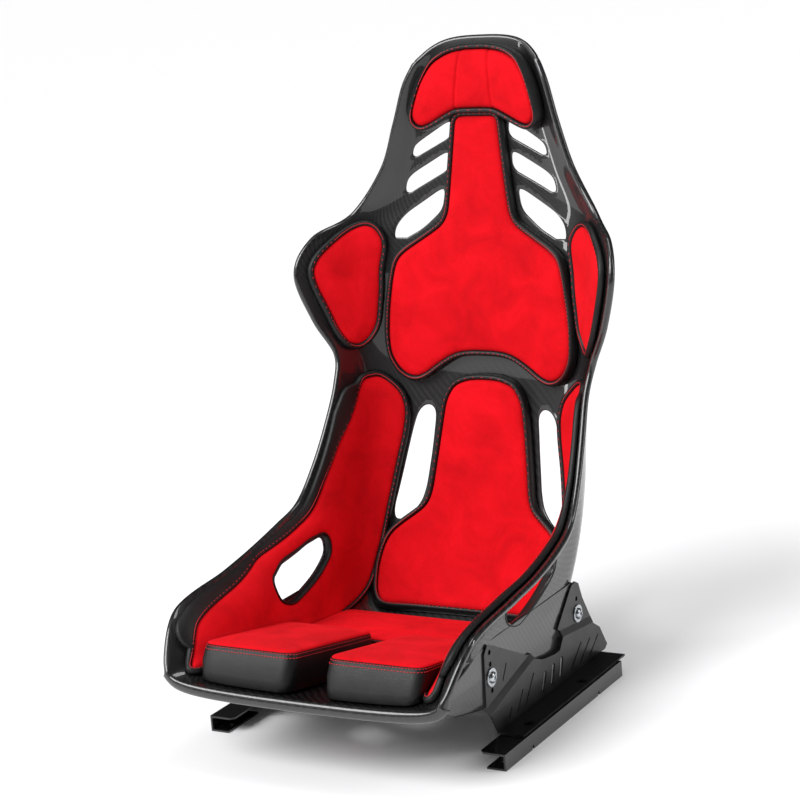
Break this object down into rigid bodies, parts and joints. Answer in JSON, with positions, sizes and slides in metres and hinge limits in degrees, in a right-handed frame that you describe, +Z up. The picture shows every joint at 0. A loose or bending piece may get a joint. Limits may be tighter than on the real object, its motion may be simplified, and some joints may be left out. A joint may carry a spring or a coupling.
{
  "type": "racing seat",
  "caption": "One-piece composite bucket seat with clip-in pads, harness slots and lap belt holes, on bolted side brackets and floor consoles.",
  "frame": {"origin": "centre of the four floor bolts, on the floor under the consoles", "axes": "+Z up, the seat faces -Y, +X is the right side of a viewer who stands in front of the seat"},
  "size_m": [0.5704, 0.7091, 0.988],
  "materials": {
    "carbon_shell": "clear-coated carbon fibre twill, high gloss",
    "red_suede": "red microfibre suede with a black leather edge and red stitching",
    "black_leather": "black grained leather",
    "bracket_steel": "satin black powder coat",
    "console_steel": "gloss black powder coat",
    "zinc_steel": "bright zinc plate",
    "black_steel": "black oxide",
    "insert_brass": "machined"
  },
  "bodies": {
    "root": {"shell": "carbon_shell", "headrest_pad": "red_suede", "upper_back_pad": "red_suede", "lumbar_pad": "red_suede", "shoulder_pad_left": "red_suede", "shoulder_pad_right": "red_suede", "side_pad_left": "red_suede", "side_pad_right": "red_suede", "thigh_pad_left": "red_suede", "thigh_pad_right": "red_suede", "seat_pad": "red_suede", "side_bracket_left": "bracket_steel", "side_bracket_right": "bracket_steel", "console_left": "console_steel", "console_right": "console_steel", "threaded_inserts": "insert_brass", "side_washers": "zinc_steel", "side_bolts": "zinc_steel", "foot_screws": "black_steel", "foot_nuts": "zinc_steel"}
  },
  "joints": []
}
